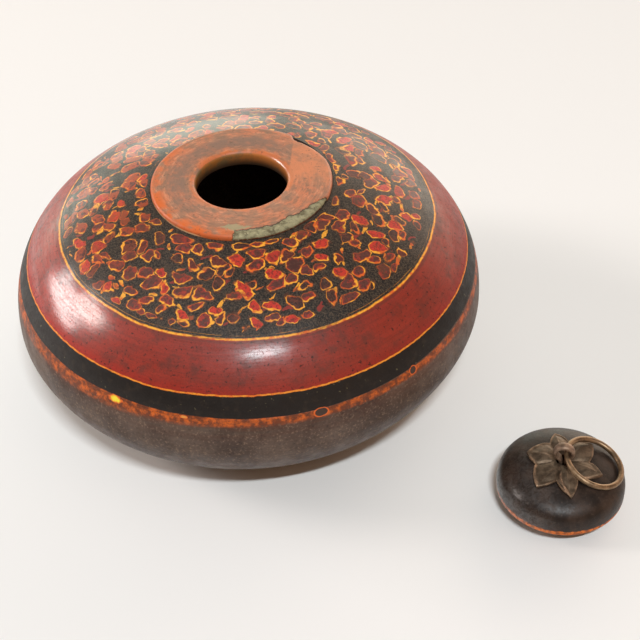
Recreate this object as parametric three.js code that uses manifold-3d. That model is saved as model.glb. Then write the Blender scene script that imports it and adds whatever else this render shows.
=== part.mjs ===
// Round lacquered wooden box with its small knob lid standing beside it.
// Millimetres, +Z up. The origin is the centre of the box's flat base, on the table.

import * as THREE from 'three';
import { mergeVertices } from 'three/addons/utils/BufferGeometryUtils.js';
import Module from 'manifold-3d';

const wasm = await Module();
wasm.setup();

// Box body: two turned shells that meet at a seam above the belly
const bellyRadius = 115;
const bellyHeight = 46;
const baseRadius = 77;
const domeRise = 66.9;
const domeFullness = 2.28;
const bowlFullness = 1.6;
const shellWall = 7;
const floorThickness = 9;
const floorFillet = 12;
const seamAboveBelly = 18.8;
const seamSpigotHeight = 6;

// Collar ring round the mouth, seated in a shallow turned recess of the dome
const mouthRadius = 21.8;
const collarRadius = 43.1;
const collarThickness = 2.85;
const collarRecess = 0.45;
const collarEdgeRound = 1.6;
const mouthEdgeRound = 2.2;
const sleeveWall = 3.6;
const sleeveDepth = 4.6;

// Flaked stretch of the collar's edge, by azimuth in degrees
const flakeStart = -97;
const flakeEnd = -27;
const flakeWidth = 4.2;
const flakeDepth = 0.6;

// Lid, standing on the table beside the box
const lidStandOff = 35;
const lidAzimuth = -40.7;
const lidRadius = 29.5;
const lidRimThickness = 3.6;
const lidRimRound = 0.9;
const lidDomeRise = 13.4;
const lidDomeFullness = 2.65;
const lidSpigotHeight = 8;
const lidSpigotClearance = 0.6;
const lidSpigotWall = 4.4;
const lidHollowRise = 6;
const lidHollowFullness = 2.4;

// Rosette: a hand-cut sheet-metal washer. A tip or notch is an azimuth in degrees and a share of its reach
const petalReach = 21;
const petalTips = [[31, 0.87], [90, 0.84], [154, 0.81], [221, 0.94], [268, 1], [328, 0.9]];
const petalNotches = [[68, 0.63], [108, 0.58], [182, 0.61], [244, 0.61], [291, 0.57], [350, 0.56]];
const petalLeaf = 1;
const petalSheet = 0.9;
const petalPuff = 0.9;

// Split pin: a strap bent to an eye above the lid, its two legs spread in the hollow
const strapThickness = 1.9;
const strapWidth = 4.2;
const strapGap = 0.4;
const eyeRadius = 3.1;
const eyeStandOff = 0.2;
const legSpread = 11;
const pinHoleClearance = 0.35;

// Pull ring, hanging in the eye and lying on the lid; its slack is how far it hangs off the middle
const ringRadius = 13.6;
const ringWire = 2.7;
const ringSlack = 1.2;
const ringAzimuth = -14;

// Gap between fitted pieces
const fitGap = 0.3;

// Facets round each turned piece
const bodySides = 72;
const lidSides = 56;

const degree = Math.PI / 180;

// Keeps only positions and merges shared vertices, which closes the mesh
function welded(geometry) {
  const copy = geometry.clone();
  for (const name of Object.keys(copy.attributes)) {
    if (name !== 'position') copy.deleteAttribute(name);
  }
  return mergeVertices(copy, 1e-4);
}

function toSolid(geometry) {
  const merged = welded(geometry);
  const vertProperties = new Float32Array(merged.attributes.position.array);
  const triVerts = new Uint32Array(merged.index.array);
  return new wasm.Manifold(new wasm.Mesh({ numProp: 3, vertProperties, triVerts }));
}

function fromSolid(solid) {
  const mesh = solid.getMesh();
  const geometry = new THREE.BufferGeometry();
  geometry.setAttribute('position', new THREE.BufferAttribute(mesh.vertProperties, 3));
  geometry.setIndex(new THREE.BufferAttribute(mesh.triVerts, 1));
  return geometry;
}

function spread(from, to, steps) {
  return Array.from({ length: steps + 1 }, (_, i) => from + (to - from) * i / steps);
}

// Turns a closed outline of [radius, height] points round the Z axis
function turned(points, sides) {
  const loop = [...points, points[0]].map(([r, z]) => new THREE.Vector2(r, z));
  if (THREE.ShapeUtils.area(loop) < 0) loop.reverse();
  const geometry = new THREE.LatheGeometry(loop, sides);
  geometry.rotateX(Math.PI / 2);
  return geometry;
}

// Points of a rounded edge, from one angle to another in degrees
function arc(centreR, centreZ, radius, from, to, steps) {
  return spread(from, to, steps).map((angle) => [
    centreR + radius * Math.cos(angle * degree),
    centreZ + radius * Math.sin(angle * degree),
  ]);
}

// A turned curve is a quarter superellipse: a radius at its base height, and a rise to its apex
const bowlShare = (1 - (baseRadius / bellyRadius) ** bowlFullness) ** (1 / bowlFullness);
const dome = { radius: bellyRadius, base: bellyHeight, rise: domeRise, fullness: domeFullness };
const bowl = {
  radius: bellyRadius, base: bellyHeight, rise: -bellyHeight / bowlShare, fullness: bowlFullness,
};

function heightAt(curve, r) {
  const reach = Math.min(r / curve.radius, 1);
  return curve.base + curve.rise * (1 - reach ** curve.fullness) ** (1 / curve.fullness);
}

// Angle of the curve's parameter at a radius: 0 at the base, 90 degrees at the apex
function angleAt(curve, r) {
  return Math.acos((r / curve.radius) ** (curve.fullness / 2)) / degree;
}

function angleAtHeight(curve, z) {
  return Math.asin(((z - curve.base) / curve.rise) ** (curve.fullness / 2)) / degree;
}

function along(curve, from, to, steps) {
  return spread(from, to, steps).map((angle) => [
    curve.radius * Math.cos(angle * degree) ** (2 / curve.fullness),
    curve.base + curve.rise * Math.sin(angle * degree) ** (2 / curve.fullness),
  ]);
}

// The same points moved inwards along the curve's normal by a wall
function inside(points, curve, wall) {
  const power = curve.fullness - 1;
  return points.map(([r, z]) => {
    const outR = (r / curve.radius) ** power / curve.radius;
    const outZ = Math.abs((z - curve.base) / curve.rise) ** power / curve.rise;
    const length = Math.hypot(outR, outZ);
    return [r - wall * outR / length, z - wall * outZ / length];
  });
}

const collarSeat = heightAt(dome, collarRadius + fitGap) - collarRecess;
const collarTop = collarSeat + collarThickness;
const sleeveRadius = mouthRadius + sleeveWall;
const seamHeight = bellyHeight + seamAboveBelly;
const seamAngle = angleAtHeight(dome, seamHeight);
const seamRadius = along(dome, seamAngle, seamAngle, 1)[0][0];
const seamSpigotRadius = seamRadius - shellWall / 2;
const seamSpigotTop = seamHeight + seamSpigotHeight;

function upperShell() {
  const seatEdge = collarRadius + fitGap;
  const holeRadius = sleeveRadius + fitGap;
  const outside = along(dome, seamAngle, angleAt(dome, seatEdge), 10);
  const wallCurve = along(dome, seamAngle, angleAt(dome, holeRadius), 8);
  const stepTop = seamSpigotTop + fitGap;
  const innerWall = inside(wallCurve, dome, shellWall)
    .filter(([r, z]) => r > holeRadius + 1 && z > stepTop + 1).reverse();
  const [[, ceiling]] = innerWall;
  const [stepRadius] = innerWall.at(-1);
  return turned([
    ...outside,
    [seatEdge, collarSeat],
    [holeRadius, collarSeat],
    [holeRadius, ceiling],
    ...innerWall,
    [stepRadius, stepTop],
    [seamSpigotRadius + fitGap, stepTop],
    [seamSpigotRadius + fitGap, seamHeight],
  ], bodySides);
}

function lowerBowl() {
  const belowBelly = along(bowl, angleAt(bowl, baseRadius), 0, 8);
  const aboveBelly = along(dome, 0, seamAngle, 4).slice(1);
  const innerDome = inside(aboveBelly, dome, shellWall).reverse();
  const innerBowl = inside(belowBelly, bowl, shellWall)
    .filter(([, z]) => z > floorThickness + 2).reverse();
  const [spigotInner] = innerDome[0];
  const [floorEdge] = innerBowl.at(-1);
  return turned([
    [0, 0],
    ...belowBelly,
    ...aboveBelly,
    [seamSpigotRadius, seamHeight],
    [seamSpigotRadius, seamSpigotTop],
    [spigotInner, seamSpigotTop],
    ...innerDome,
    ...innerBowl,
    [floorEdge - floorFillet, floorThickness],
    [0, floorThickness],
  ], bodySides);
}

// A wedge of space round the Z axis, from one azimuth to another in degrees
function wedge(from, to, radius, bottom, top) {
  const shape = new THREE.Shape();
  shape.moveTo(0, 0);
  for (const angle of spread(from, to, 8)) {
    shape.lineTo(radius * Math.cos(angle * degree), radius * Math.sin(angle * degree));
  }
  shape.closePath();
  const geometry = new THREE.ExtrudeGeometry(shape, { depth: top - bottom, bevelEnabled: false });
  geometry.translate(0, 0, bottom);
  return toSolid(geometry);
}

function collarRing() {
  const edgeR = collarRadius - collarEdgeRound;
  const edgeZ = collarTop - collarEdgeRound;
  const ring = turned([
    [mouthRadius, collarSeat - sleeveDepth],
    [sleeveRadius, collarSeat - sleeveDepth],
    [sleeveRadius, collarSeat],
    [collarRadius, collarSeat],
    ...arc(edgeR, edgeZ, collarEdgeRound, 0, 90, 3),
    ...arc(mouthRadius + mouthEdgeRound, collarTop - mouthEdgeRound, mouthEdgeRound, 90, 180, 3),
  ], bodySides);
  const beyond = 1;
  const flakeInner = collarRadius - flakeWidth;
  const flaked = turned([
    [flakeInner, collarTop + beyond],
    [flakeInner + flakeDepth, collarTop - flakeDepth],
    ...arc(edgeR - flakeDepth, edgeZ - flakeDepth, collarEdgeRound, 90, 0, 3),
    [collarRadius - flakeDepth, collarSeat + collarRecess],
    [collarRadius + beyond, collarSeat + collarRecess],
    [collarRadius + beyond, collarTop + beyond],
  ], bodySides);
  const stretch = wedge(
    flakeStart, flakeEnd, 2 * collarRadius, collarSeat - beyond, collarTop + 2 * beyond);
  return fromSolid(toSolid(ring).subtract(toSolid(flaked).intersect(stretch)));
}

// Lid, in its own frame: the origin is on the table under its centre
const lidRimTop = lidSpigotHeight + lidRimThickness;
const lidDome = {
  radius: lidRadius, base: lidRimTop, rise: lidDomeRise, fullness: lidDomeFullness,
};
const lidSpigotRadius = mouthRadius - lidSpigotClearance;
const lidHollow = {
  radius: lidSpigotRadius - lidSpigotWall,
  base: lidSpigotHeight,
  rise: lidHollowRise,
  fullness: lidHollowFullness,
};
const pinHalfWidth = strapGap / 2 + strapThickness;
const pinHoleRadius = Math.hypot(pinHalfWidth, strapWidth / 2) + pinHoleClearance;

function lid() {
  const top = along(lidDome, 5, angleAt(lidDome, pinHoleRadius), 10);
  const ceiling = along(lidHollow, 0, angleAt(lidHollow, pinHoleRadius), 5).reverse();
  return turned([
    [lidHollow.radius, 0],
    [lidSpigotRadius, 0],
    [lidSpigotRadius, lidSpigotHeight],
    ...arc(lidRadius - lidRimRound, lidSpigotHeight + lidRimRound, lidRimRound, -90, 0, 2),
    [lidRadius, lidRimTop],
    ...top,
    ...ceiling,
  ], lidSides);
}

// Spokes of the rosette. Each has how far it lies off its petal's tip: 0 at the tip, 1 in a notch
function spokes() {
  const halfPetal = 5;
  const between = (tip, tipShare, notch, notchShare) => (off) => ({
    off,
    azimuth: tip + (notch - tip) * off,
    reach: petalReach * (notchShare + (tipShare - notchShare) * (1 - off) ** petalLeaf),
  });
  return petalTips.flatMap(([tip, tipShare], i) => {
    const [before, beforeShare] = petalNotches.at(i - 1);
    const [after, afterShare] = petalNotches[i];
    const start = before > tip ? before - 360 : before;
    return [
      ...spread(1, 0, halfPetal).map(between(tip, tipShare, start, beforeShare)),
      ...spread(0, 1, halfPetal).slice(1, -1).map(between(tip, tipShare, after, afterShare)),
    ];
  });
}

// The sheet is draped on the dome, puffed up along each petal and cut to points
function rosette() {
  const cut = spokes();
  const around = cut.length;
  const rings = 4;
  const positions = [];
  const indices = [];
  for (const underside of [false, true]) {
    for (const { off, azimuth, reach } of cut) {
      for (const share of spread(0, 1, rings)) {
        const r = pinHoleRadius + (reach - pinHoleRadius) * share;
        const puff = petalPuff * Math.sin(Math.PI * share) * (1 - off ** 2);
        const z = heightAt(lidDome, r) + fitGap + (underside ? 0 : petalSheet + puff);
        positions.push(r * Math.cos(azimuth * degree), r * Math.sin(azimuth * degree), z);
      }
    }
  }
  const at = (side, i, j) => (side * around + i % around) * (rings + 1) + j;
  const quad = (a, b, c, d) => indices.push(a, b, c, a, c, d);
  for (let i = 0; i < around; i++) {
    for (let j = 0; j < rings; j++) {
      quad(at(0, i, j), at(0, i, j + 1), at(0, i + 1, j + 1), at(0, i + 1, j));
      quad(at(1, i + 1, j), at(1, i + 1, j + 1), at(1, i, j + 1), at(1, i, j));
    }
    quad(at(0, i + 1, 0), at(1, i + 1, 0), at(1, i, 0), at(0, i, 0));
    quad(at(0, i, rings), at(1, i, rings), at(1, i + 1, rings), at(0, i + 1, rings));
  }
  const geometry = new THREE.BufferGeometry();
  geometry.setAttribute('position', new THREE.Float32BufferAttribute(positions, 3));
  geometry.setIndex(indices);
  return geometry;
}

// Split pin, bent in the plane of local X and Z
const rosetteTop = heightAt(lidDome, pinHoleRadius) + fitGap + petalSheet;
const eyeHeight = rosetteTop + eyeStandOff + strapThickness + eyeRadius;

function splitPin() {
  const eyeMiddle = eyeRadius + strapThickness / 2;
  const shank = (strapGap + strapThickness) / 2;
  const openAngle = Math.asin(shank / eyeMiddle) / degree + 24;
  const eye = arc(0, eyeHeight, eyeMiddle, -90 - openAngle, -450 + openAngle, 16);
  const neck = eyeHeight - eyeMiddle - strapThickness / 3;
  const halfWidth = strapWidth / 2;
  const legLine = (x) => heightAt(lidHollow, Math.hypot(x, halfWidth)) - fitGap - strapThickness / 2;
  const bend = strapThickness;
  const bendTop = legLine(shank + bend) + bend;
  const leg = [
    ...spread(legSpread, shank + bend, 3).map((x) => [x, legLine(x)]),
    ...arc(shank + bend, bendTop, bend, 240, 180, 2),
    [shank, (bendTop + neck) / 2],
    [shank, neck],
  ];
  const mirrored = leg.map(([x, z]) => [-x, z]);
  const route = [...mirrored, ...eye, ...leg.reverse()];
  const curve = new THREE.CatmullRomCurve3(
    route.map(([x, z]) => new THREE.Vector3(x, 0, z)), false, 'centripetal');
  const halfThickness = strapThickness / 2;
  const chamfer = strapThickness / 4;
  const section = new THREE.Shape([
    [halfWidth, chamfer - halfThickness], [halfWidth, halfThickness - chamfer],
    [halfWidth - chamfer, halfThickness], [chamfer - halfWidth, halfThickness],
    [-halfWidth, halfThickness - chamfer], [-halfWidth, chamfer - halfThickness],
    [chamfer - halfWidth, -halfThickness], [halfWidth - chamfer, -halfThickness],
  ].map(([x, y]) => new THREE.Vector2(x, y)));
  return new THREE.ExtrudeGeometry(section, { steps: 52, extrudePath: curve, bevelEnabled: false });
}

// Points along the middle of the ring's wire when the ring droops by an angle from level
function wireMiddle(droop) {
  return spread(0, 360, 60).map((angle) => {
    const out = ringSlack + ringRadius * (1 - Math.cos(angle * degree));
    const side = ringRadius * Math.sin(angle * degree);
    const r = Math.hypot(out * Math.cos(droop * degree), side);
    return [r, eyeHeight - out * Math.sin(droop * degree)];
  });
}

// The ring droops until its wire comes down to the lid
function restDroop() {
  const surface = along(lidDome, 0, 90, 120);
  const clearance = (droop) => Math.min(...wireMiddle(droop).map(([r, z]) => Math.min(
    ...surface.map(([lidR, lidZ]) => Math.hypot(r - lidR, z - lidZ))))) - ringWire / 2;
  let droop = 0;
  while (clearance(droop) > fitGap) droop += 0.1;
  return droop;
}

function pullRing() {
  const geometry = new THREE.TorusGeometry(ringRadius, ringWire / 2, 8, 44);
  geometry.translate(ringSlack + ringRadius, 0, 0);
  return geometry;
}

function piece(name, geometry, color, roughness, metalness) {
  const closed = welded(geometry);
  closed.computeVertexNormals();
  const mesh = new THREE.Mesh(closed, new THREE.MeshStandardMaterial({ color, roughness, metalness }));
  mesh.name = name;
  return mesh;
}

const box = new THREE.Group();
box.add(piece('lower_bowl', lowerBowl(), 0x3a2a22, 0.5, 0));
box.add(piece('upper_shell', upperShell(), 0x8a3426, 0.4, 0));
box.add(piece('collar_ring', collarRing(), 0xa4553a, 0.5, 0));

const lidDistance = bellyRadius + lidStandOff + lidRadius;
const lidGroup = new THREE.Group();
lidGroup.position.set(
  lidDistance * Math.cos(lidAzimuth * degree), lidDistance * Math.sin(lidAzimuth * degree), 0);
lidGroup.add(piece('lid', lid(), 0x2c2422, 0.45, 0));
lidGroup.add(piece('rosette', rosette(), 0x4a3c30, 0.5, 0.7));

const pin = piece('split_pin', splitPin(), 0x6a5240, 0.45, 0.8);
pin.rotation.z = ringAzimuth * degree;
lidGroup.add(pin);

const ringHinge = new THREE.Group();
ringHinge.position.set(0, 0, eyeHeight);
ringHinge.rotation.set(0, restDroop() * degree, ringAzimuth * degree, 'ZYX');
ringHinge.add(piece('pull_ring', pullRing(), 0x86694c, 0.35, 0.9));
lidGroup.add(ringHinge);

const object = new THREE.Group();
object.add(box, lidGroup);

export default object;
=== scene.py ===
from math import acos, asin, atan2, cos, degrees, exp, hypot, pi, radians, sin

import bmesh
import bpy
from mathutils import Matrix, Vector, noise


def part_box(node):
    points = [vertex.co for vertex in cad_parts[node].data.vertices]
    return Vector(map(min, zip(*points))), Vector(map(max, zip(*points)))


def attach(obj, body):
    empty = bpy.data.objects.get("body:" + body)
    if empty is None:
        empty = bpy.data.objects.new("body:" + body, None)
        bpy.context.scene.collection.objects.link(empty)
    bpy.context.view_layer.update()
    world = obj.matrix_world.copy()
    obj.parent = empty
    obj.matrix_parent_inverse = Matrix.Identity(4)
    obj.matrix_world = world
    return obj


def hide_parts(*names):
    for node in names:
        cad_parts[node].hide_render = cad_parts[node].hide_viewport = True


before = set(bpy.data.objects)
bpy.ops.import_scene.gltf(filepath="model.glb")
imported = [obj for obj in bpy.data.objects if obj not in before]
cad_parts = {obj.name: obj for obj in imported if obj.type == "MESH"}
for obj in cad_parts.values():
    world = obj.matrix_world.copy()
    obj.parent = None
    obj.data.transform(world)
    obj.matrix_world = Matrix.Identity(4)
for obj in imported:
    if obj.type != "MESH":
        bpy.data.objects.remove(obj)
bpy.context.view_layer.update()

mm = 0.001

# Box body, as turned: a full dome above the belly and a leaner bowl below it
BELLY_RADIUS = 115 * mm
BELLY_HEIGHT = 46 * mm
BASE_RADIUS = 77 * mm
DOME_RISE = 66.9 * mm
DOME_FULLNESS = 2.28
BOWL_FULLNESS = 1.6
SHELL_WALL = 7 * mm
FLOOR_THICKNESS = 9 * mm
FLOOR_FILLET = 12 * mm
SEAM_HEIGHT = 64.8 * mm
SPIGOT_HEIGHT = 6 * mm
FIT_GAP = 0.3 * mm

# Collar ring round the mouth
MOUTH_RADIUS = 21.8 * mm
COLLAR_RADIUS = 43.1 * mm
COLLAR_THICKNESS = 2.85 * mm
COLLAR_RECESS = 0.45 * mm
COLLAR_EDGE_ROUND = 1.6 * mm
MOUTH_EDGE_ROUND = 2.2 * mm
SLEEVE_WALL = 3.6 * mm
SLEEVE_DEPTH = 4.6 * mm

# Outer margin of the collar, as wide as the flakes and the break can reach
MARGIN_WIDTH = 9 * mm

# Flaked front stretch of that margin: azimuths in degrees, and how far it reaches in there
FLAKE = [(-98.4, 0), (-97.2, 4.4 * mm), (-87, 5.2 * mm), (-76, 5.1 * mm), (-71, 4.2 * mm), (-60, 6.1 * mm),
         (-57, 6.8 * mm), (-52, 4.8 * mm), (-46, 4.7 * mm), (-37, 4.1 * mm), (-32, 2.7 * mm), (-25, 0)]
FLAKE_DEPTH = 0.6 * mm

# Stretch at the back where the collar's edge has broken away, given the same way
CHIP = [(15, 0), (30, 1.3 * mm), (47, 3 * mm), (52, 0)]

# Zones of the collar's finish, as the radii between which each one fades in
LIP_ZONE = (25.6 * mm, 23.6 * mm)
POLISHED_LIP = (25.5 * mm, 24 * mm)
WORN_FROM = (25 * mm, 28 * mm)
WORN_TO = (37 * mm, 33 * mm)
OUTER_ZONE = (36 * mm, 41 * mm)
RIM_ZONE = (41.9 * mm, 42.7 * mm)
RIM_CHIP_ZONE = (42.2 * mm, 42.8 * mm)

# Spot beside the flaked margin where the lacquer has worn off, its azimuth in degrees
BARE_RADIUS = 36.5 * mm
BARE_AZIMUTH = -98

# Straight edge of the mended stretch of the collar: where it crosses the X axis, and its slant
MENDED_FROM = (21.7 * mm, 22.7 * mm)
MENDED_SLANT = 0.17

# Bands of lacquer, by height on the dome
PATTERN_LINE = 92 * mm
RED_LINE = 74.6 * mm
LINE_HEIGHT = 0.95 * mm
LINE_BLUR = 0.15 * mm
STRIPE_HEIGHT = 4 * mm
BAND_TILT = 0.012

# Marks on the seam's stripe, by azimuth in degrees: width and height of a fleck, width of a loop
BRIGHT_FLECK = (-124.6, 7.4 * mm, 4 * mm)
DULL_FLECK = (-107.5, 4.4 * mm, 1.5 * mm)
LOOPS = [(-76.3, 6.4 * mm), (-51.4, 4 * mm)]
LOOP_HEIGHT = 4 * mm

# Marbled crown: one island of lacquer to each cell
ISLAND_SPACING = 8.4 * mm
CROWN_EDGE = 86.5 * mm
CROWN_INNER = 46 * mm
CROWN_SLOPE = 0.063

# Lid, standing on the table beside the box
LID_STAND_OFF = 35 * mm
LID_AZIMUTH = radians(-40.7)
LID_RADIUS = 29.5 * mm
LID_RIM_THICKNESS = 3.6 * mm
LID_RIM_ROUND = 0.9 * mm
LID_DOME_RISE = 13.4 * mm
LID_DOME_FULLNESS = 2.65
LID_SPIGOT_HEIGHT = 8 * mm
LID_SPIGOT_CLEARANCE = 0.6 * mm
LID_SPIGOT_WALL = 4.4 * mm
LID_HOLLOW_RISE = 6 * mm
LID_HOLLOW_FULLNESS = 2.4

# Rosette: hand-cut petals, as azimuths in degrees and shares of the longest one's reach
PETAL_REACH = 21 * mm
PETAL_TIPS = [(31, 0.87), (90, 0.84), (154, 0.81), (221, 0.94), (268, 1), (328, 0.9)]
PETAL_NOTCHES = [(68, 0.63), (108, 0.58), (182, 0.61), (244, 0.61), (291, 0.57), (350, 0.56)]
PETAL_SHEET = 0.9 * mm
PETAL_PUFF = 0.9 * mm
PETAL_CURL = 0.45 * mm
PETAL_VEIN = 0.3 * mm
PETAL_FOLD = 0.75 * mm
PETAL_DENT = 0.14 * mm
FRONT_PETAL, LEFT_PETAL, RIGHT_PETAL = 268, 221, 328

# Split pin
STRAP_THICKNESS = 1.9 * mm
STRAP_WIDTH = 4.2 * mm
STRAP_GAP = 0.4 * mm
EYE_RADIUS = 3.1 * mm
EYE_STAND_OFF = 0.2 * mm
EYE_OPENING = radians(24)
LEG_SPREAD = 11 * mm
PIN_HOLE_CLEARANCE = 0.35 * mm

# Pull ring
RING_RADIUS = 13.6 * mm
RING_WIRE = 2.7 * mm
RING_SLACK = 1.2 * mm
RING_AZIMUTH = radians(-14)
RING_WEAR = 0.14

# Sides that the round pieces, the strap and the wire are made with
BODY_SIDES = 288
COLLAR_SIDES = 600
LID_SIDES = 224
WASHER_SIDES = 360
RING_SIDES = 144
STRAP_SIDES = 24
WIRE_SIDES = 20

# Photograph's camera
FRAME_PX = 640
FOCAL_PX = 1400
CAMERA_PLACE = Vector((0, -0.5365, 0.5074))
CAMERA_PAN, CAMERA_TILT, CAMERA_ROLL = 0.0647, 0.7385, 0.0379


class Curve:
    """A quarter superellipse of a turned profile: a radius at its base height, and a rise to its apex."""

    def __init__(self, radius, base, rise, fullness):
        self.radius = radius
        self.base = base
        self.rise = rise
        self.fullness = fullness

    def height(self, r):
        reach = min(r / self.radius, 1)
        return self.base + self.rise * (1 - reach ** self.fullness) ** (1 / self.fullness)

    def angle_at_radius(self, r):
        return acos((r / self.radius) ** (self.fullness / 2))

    def angle_at_height(self, z):
        return asin(((z - self.base) / self.rise) ** (self.fullness / 2))

    def along(self, start, end, steps, inset=0.0):
        """Points from one angle to another, moved in along the curve's normal by an inset."""
        points = []
        for i in range(steps + 1):
            angle = start + (end - start) * i / steps
            r = self.radius * cos(angle) ** (2 / self.fullness)
            rise = sin(angle) ** (2 / self.fullness)
            power = self.fullness - 1
            out = Vector(((r / self.radius) ** power / self.radius, rise ** power / self.rise))
            points.append(Vector((r, self.base + self.rise * rise)) - out.normalized() * inset)
        return points


bowl_share = (1 - (BASE_RADIUS / BELLY_RADIUS) ** BOWL_FULLNESS) ** (1 / BOWL_FULLNESS)
dome = Curve(BELLY_RADIUS, BELLY_HEIGHT, DOME_RISE, DOME_FULLNESS)
bowl = Curve(BELLY_RADIUS, BELLY_HEIGHT, -BELLY_HEIGHT / bowl_share, BOWL_FULLNESS)
seam_angle = dome.angle_at_height(SEAM_HEIGHT)
seam_radius = dome.along(seam_angle, seam_angle, steps=1)[0].x
spigot_radius = seam_radius - SHELL_WALL / 2
spigot_top = SEAM_HEIGHT + SPIGOT_HEIGHT
collar_seat = dome.height(COLLAR_RADIUS + FIT_GAP) - COLLAR_RECESS
collar_top = collar_seat + COLLAR_THICKNESS
sleeve_radius = MOUTH_RADIUS + SLEEVE_WALL

lid_distance = BELLY_RADIUS + LID_STAND_OFF + LID_RADIUS
lid_centre = Vector((cos(LID_AZIMUTH), sin(LID_AZIMUTH), 0)) * lid_distance
lid_rim_top = LID_SPIGOT_HEIGHT + LID_RIM_THICKNESS
lid_spigot_radius = MOUTH_RADIUS - LID_SPIGOT_CLEARANCE
lid_dome = Curve(LID_RADIUS, lid_rim_top, LID_DOME_RISE, LID_DOME_FULLNESS)
lid_hollow = Curve(
    lid_spigot_radius - LID_SPIGOT_WALL, LID_SPIGOT_HEIGHT, LID_HOLLOW_RISE, LID_HOLLOW_FULLNESS)
pin_hole_radius = hypot(STRAP_GAP / 2 + STRAP_THICKNESS, STRAP_WIDTH / 2) + PIN_HOLE_CLEARANCE
washer_top = lid_dome.height(pin_hole_radius) + FIT_GAP + PETAL_SHEET
eye_height = washer_top + EYE_STAND_OFF + STRAP_THICKNESS + EYE_RADIUS


def smooth_step(low, high, value):
    share = min(max((value - low) / (high - low), 0), 1)
    return share * share * (3 - 2 * share)


def soften(profile, radius, closed=True, steps=4):
    """Rounds a profile's sharp corners, with a point beside each arc that keeps the flats flat."""
    rounded = []
    for i, corner in enumerate(profile):
        if not closed and i in (0, len(profile) - 1):
            rounded.append(corner)
            continue
        back = profile[i - 1] - corner
        ahead = profile[(i + 1) % len(profile)] - corner
        if back.angle(-ahead) < radians(20):
            rounded.append(corner)
            continue
        trim = min(radius, back.length / 4, ahead.length / 4)
        start = corner + back.normalized() * trim
        end = corner + ahead.normalized() * trim
        rounded.append(corner + back.normalized() * trim * 1.6)
        for step in range(steps + 1):
            t = step / steps
            rounded.append(start * (1 - t) ** 2 + corner * 2 * t * (1 - t) + end * t ** 2)
        rounded.append(corner + ahead.normalized() * trim * 1.6)
    return rounded


def turned(profile, sides, closed=True):
    """Turns a profile of (radius, height) points round the Z axis."""
    bm = bmesh.new()
    points = [bm.verts.new((p.x, 0, p.y)) for p in profile]
    ends = points[1:] + points[:1] if closed else points[1:]
    outline = [bm.edges.new(pair) for pair in zip(points, ends)]
    bmesh.ops.spin(
        bm, geom=points + outline, cent=(0, 0, 0), axis=(0, 0, 1), angle=2 * pi, steps=sides,
        use_merge=True)
    bmesh.ops.remove_doubles(bm, verts=bm.verts, dist=0.001 * mm)
    bmesh.ops.recalc_face_normals(bm, faces=bm.faces)
    return bm


def add_mesh(bm, name, material):
    """Puts the finished mesh in the scene as an object."""
    mesh = bpy.data.meshes.new(name)
    bm.to_mesh(mesh)
    bm.free()
    mesh.materials.append(material)
    made = bpy.data.objects.new(name, mesh)
    bpy.context.collection.objects.link(made)
    return made


def add_piece(bm, name, node, body, material, place=None):
    """Makes the finished mesh a piece that stands for a CAD node and rides on its body."""
    if place is not None:
        bmesh.ops.transform(bm, matrix=place, verts=bm.verts)
    for face in bm.faces:
        face.smooth = True
    piece = add_mesh(bm, name, material)
    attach(piece, body)
    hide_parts(node)


def turned_bowl():
    """From the base out to the belly, over it to the seam, up the spigot and back down inside."""
    base_angle = bowl.angle_at_radius(BASE_RADIUS)
    below = bowl.along(base_angle, 0, steps=30)
    above = dome.along(0, seam_angle, steps=14)[1:]
    inner_dome = dome.along(0, seam_angle, steps=8, inset=SHELL_WALL)[1:][::-1]
    inner_bowl = bowl.along(base_angle, 0, steps=24, inset=SHELL_WALL)
    inner_bowl = [p for p in inner_bowl if p.y > FLOOR_THICKNESS + 2 * mm][::-1]
    profile = [Vector((0, 0)), *below, *above, Vector((spigot_radius, SEAM_HEIGHT)),
               Vector((spigot_radius, spigot_top)), Vector((inner_dome[0].x, spigot_top)),
               *inner_dome, *inner_bowl,
               Vector((inner_bowl[-1].x - FLOOR_FILLET, FLOOR_THICKNESS)), Vector((0, FLOOR_THICKNESS))]
    return turned(soften(profile, 0.6 * mm, closed=False), BODY_SIDES, closed=False)


def turned_dome():
    """From the seam up to the collar's seat, and back down inside to the rebate over the spigot."""
    seat_edge = COLLAR_RADIUS + FIT_GAP
    hole = sleeve_radius + FIT_GAP
    step_top = spigot_top + FIT_GAP
    outside = dome.along(seam_angle, dome.angle_at_radius(seat_edge), steps=60)
    wall = dome.along(seam_angle, dome.angle_at_radius(hole), steps=30, inset=SHELL_WALL)
    wall = [p for p in wall if p.x > hole + 1 * mm and p.y > step_top + 1 * mm][::-1]
    profile = [*outside, Vector((seat_edge, collar_seat)), Vector((hole, collar_seat)),
               Vector((hole, wall[0].y)), *wall, Vector((wall[-1].x, step_top)),
               Vector((spigot_radius + FIT_GAP, step_top)),
               Vector((spigot_radius + FIT_GAP, SEAM_HEIGHT))]
    return turned(soften(profile, 0.25 * mm), BODY_SIDES)


def lost_margin(stretch, azimuth):
    """How far in from the collar's edge a flaked or broken stretch reaches, at an azimuth in degrees."""
    for (start, first), (end, last) in zip(stretch, stretch[1:]):
        if start <= azimuth < end:
            on_edge = Vector((cos(radians(azimuth)), sin(radians(azimuth)), 0))
            ragged = 1 + 0.12 * noise.noise(on_edge * 17) + 0.12 * noise.noise(on_edge * 43)
            return (first + (last - first) * (azimuth - start) / (end - start)) * ragged
    return 0


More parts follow.
